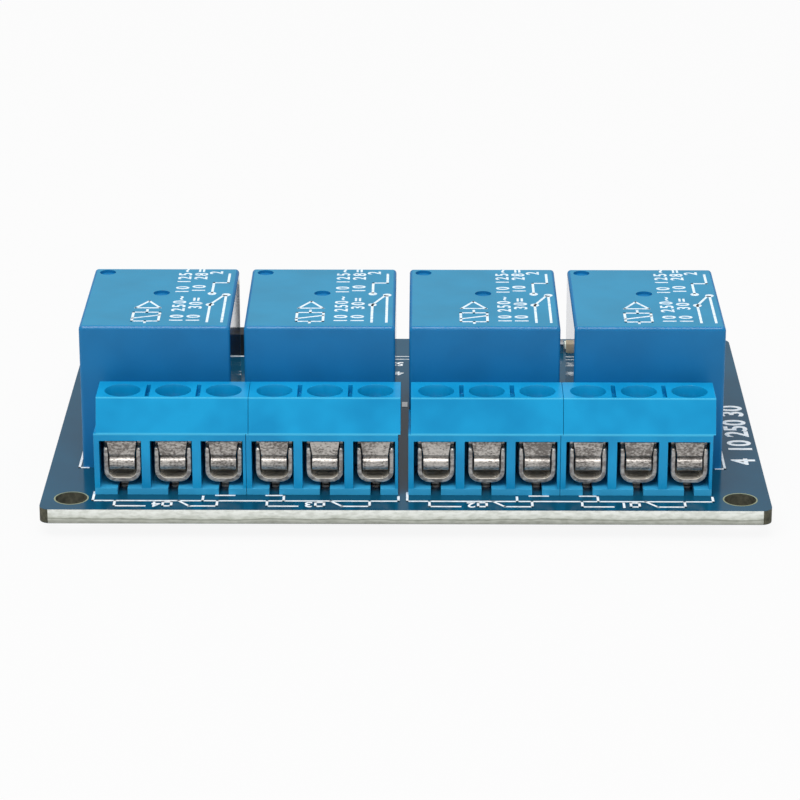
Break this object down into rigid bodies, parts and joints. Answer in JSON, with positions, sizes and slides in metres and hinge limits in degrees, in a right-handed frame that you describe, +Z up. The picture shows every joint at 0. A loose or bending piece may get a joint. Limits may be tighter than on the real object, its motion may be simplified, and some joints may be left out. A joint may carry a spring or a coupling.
{
  "type": "relay module board",
  "caption": "Blue circuit board with sealed relays in a row, screw-clamp terminals in front and pin headers with opto-isolated inputs behind.",
  "frame": {"origin": "middle of the board's outline, at the tips of the soldered leads it stands on", "axes": "+X along the row of terminals, +Y from the terminals to the pin headers, +Z up"},
  "size_m": [0.073, 0.052, 0.0184],
  "materials": {
    "laminate": "glass-epoxy laminate under blue solder mask",
    "terminal_plastic": "moulded polyamide, satin",
    "clamp_metal": "bent strip, bright tin plate",
    "guard_metal": "bent spring strip, tin plate",
    "screw_steel": "zinc-plated steel",
    "relay_plastic": "moulded case, fine satin",
    "base_plastic": "moulded base, sealed with resin",
    "relay_iron": "nickel-plated soft iron",
    "coil_copper": "enamelled copper wire on a nylon bobbin",
    "contact_bronze": "bronze strip with silver buttons",
    "chip_plastic": "moulded epoxy with tinned leads",
    "led_lens": "clear resin over a pale base",
    "chip_ceramic": "ceramic with tinned ends",
    "header_plastic": "moulded, black",
    "pin_metal": "tin-plated brass",
    "jumper_plastic": "moulded, black",
    "solder": "tin solder, bright"
  },
  "bodies": {
    "board": {"pcb": "laminate", "terminal_block_1": "terminal_plastic", "terminal_block_2": "terminal_plastic", "terminal_block_3": "terminal_plastic", "terminal_block_4": "terminal_plastic", "clamp_cages_1": "clamp_metal", "clamp_cages_2": "clamp_metal", "clamp_cages_3": "clamp_metal", "clamp_cages_4": "clamp_metal", "wire_guards_1": "guard_metal", "wire_guards_2": "guard_metal", "wire_guards_3": "guard_metal", "wire_guards_4": "guard_metal", "relay_case_1": "relay_plastic", "relay_case_2": "relay_plastic", "relay_case_3": "relay_plastic", "relay_case_4": "relay_plastic", "relay_base_1": "base_plastic", "relay_base_2": "base_plastic", "relay_base_3": "base_plastic", "relay_base_4": "base_plastic", "relay_yoke_1": "relay_iron", "relay_yoke_2": "relay_iron", "relay_yoke_3": "relay_iron", "relay_yoke_4": "relay_iron", "relay_coil_1": "coil_copper", "relay_coil_2": "coil_copper", "relay_coil_3": "coil_copper", "relay_coil_4": "coil_copper", "relay_contacts_1": "contact_bronze", "relay_contacts_2": "contact_bronze", "relay_contacts_3": "contact_bronze", "relay_contacts_4": "contact_bronze", "optocouplers": "chip_plastic", "indicator_leds": "led_lens", "transistors": "chip_plastic", "diodes": "chip_plastic", "resistors": "chip_ceramic", "input_header": "header_plastic", "input_pins": "pin_metal", "supply_header": "header_plastic", "supply_pins": "pin_metal", "jumper_cap": "jumper_plastic", "solder_joints": "solder"},
    "armature_1": {"relay_armature_1": "relay_iron"},
    "armature_2": {"relay_armature_2": "relay_iron"},
    "armature_3": {"relay_armature_3": "relay_iron"},
    "armature_4": {"relay_armature_4": "relay_iron"},
    "screw_1": {"clamp_screw_1": "screw_steel"},
    "screw_2": {"clamp_screw_2": "screw_steel"},
    "screw_3": {"clamp_screw_3": "screw_steel"},
    "screw_4": {"clamp_screw_4": "screw_steel"},
    "screw_5": {"clamp_screw_5": "screw_steel"},
    "screw_6": {"clamp_screw_6": "screw_steel"},
    "screw_7": {"clamp_screw_7": "screw_steel"},
    "screw_8": {"clamp_screw_8": "screw_steel"},
    "screw_9": {"clamp_screw_9": "screw_steel"},
    "screw_10": {"clamp_screw_10": "screw_steel"},
    "screw_11": {"clamp_screw_11": "screw_steel"},
    "screw_12": {"clamp_screw_12": "screw_steel"}
  },
  "joints": [
    {"name": "armature_hinge_1", "type": "hinge", "parent": "board", "child": "armature_1", "pos_m": [-0.02548, 0.0017, 0.01395], "axis": [1, 0, 0], "range_deg": [0, 4], "stiffness_Nm_per_rad": 0.01, "springref_deg": -11.46},
    {"name": "armature_hinge_2", "type": "hinge", "parent": "board", "child": "armature_2", "pos_m": [-0.00876, 0.0017, 0.01395], "axis": [1, 0, 0], "range_deg": [0, 4], "stiffness_Nm_per_rad": 0.01, "springref_deg": -11.46},
    {"name": "armature_hinge_3", "type": "hinge", "parent": "board", "child": "armature_3", "pos_m": [0.00796, 0.0017, 0.01395], "axis": [1, 0, 0], "range_deg": [0, 4], "stiffness_Nm_per_rad": 0.01, "springref_deg": -11.46},
    {"name": "armature_hinge_4", "type": "hinge", "parent": "board", "child": "armature_4", "pos_m": [0.02468, 0.0017, 0.01395], "axis": [1, 0, 0], "range_deg": [0, 4], "stiffness_Nm_per_rad": 0.01, "springref_deg": -11.46},
    {"name": "screw_turn_1", "type": "hinge", "parent": "board", "child": "screw_1", "pos_m": [-0.02843, -0.0188, 0.0111], "axis": [0, 0, 1], "range_deg": [-450, 990]},
    {"name": "screw_turn_2", "type": "hinge", "parent": "board", "child": "screw_2", "pos_m": [-0.02336, -0.0188, 0.0111], "axis": [0, 0, 1], "range_deg": [-450, 990]},
    {"name": "screw_turn_3", "type": "hinge", "parent": "board", "child": "screw_3", "pos_m": [-0.01827, -0.0188, 0.0111], "axis": [0, 0, 1], "range_deg": [-450, 990]},
    {"name": "screw_turn_4", "type": "hinge", "parent": "board", "child": "screw_4", "pos_m": [-0.0132, -0.0188, 0.0111], "axis": [0, 0, 1], "range_deg": [-450, 990]},
    {"name": "screw_turn_5", "type": "hinge", "parent": "board", "child": "screw_5", "pos_m": [-0.00812, -0.0188, 0.0111], "axis": [0, 0, 1], "range_deg": [-450, 990]},
    {"name": "screw_turn_6", "type": "hinge", "parent": "board", "child": "screw_6", "pos_m": [-0.00303, -0.0188, 0.0111], "axis": [0, 0, 1], "range_deg": [-450, 990]},
    {"name": "screw_turn_7", "type": "hinge", "parent": "board", "child": "screw_7", "pos_m": [0.00303, -0.0188, 0.0111], "axis": [0, 0, 1], "range_deg": [-450, 990]},
    {"name": "screw_turn_8", "type": "hinge", "parent": "board", "child": "screw_8", "pos_m": [0.00812, -0.0188, 0.0111], "axis": [0, 0, 1], "range_deg": [-450, 990]},
    {"name": "screw_turn_9", "type": "hinge", "parent": "board", "child": "screw_9", "pos_m": [0.0132, -0.0188, 0.0111], "axis": [0, 0, 1], "range_deg": [-450, 990]},
    {"name": "screw_turn_10", "type": "hinge", "parent": "board", "child": "screw_10", "pos_m": [0.01827, -0.0188, 0.0111], "axis": [0, 0, 1], "range_deg": [-450, 990]},
    {"name": "screw_turn_11", "type": "hinge", "parent": "board", "child": "screw_11", "pos_m": [0.02336, -0.0188, 0.0111], "axis": [0, 0, 1], "range_deg": [-450, 990]},
    {"name": "screw_turn_12", "type": "hinge", "parent": "board", "child": "screw_12", "pos_m": [0.02843, -0.0188, 0.0111], "axis": [0, 0, 1], "range_deg": [-450, 990]}
  ]
}
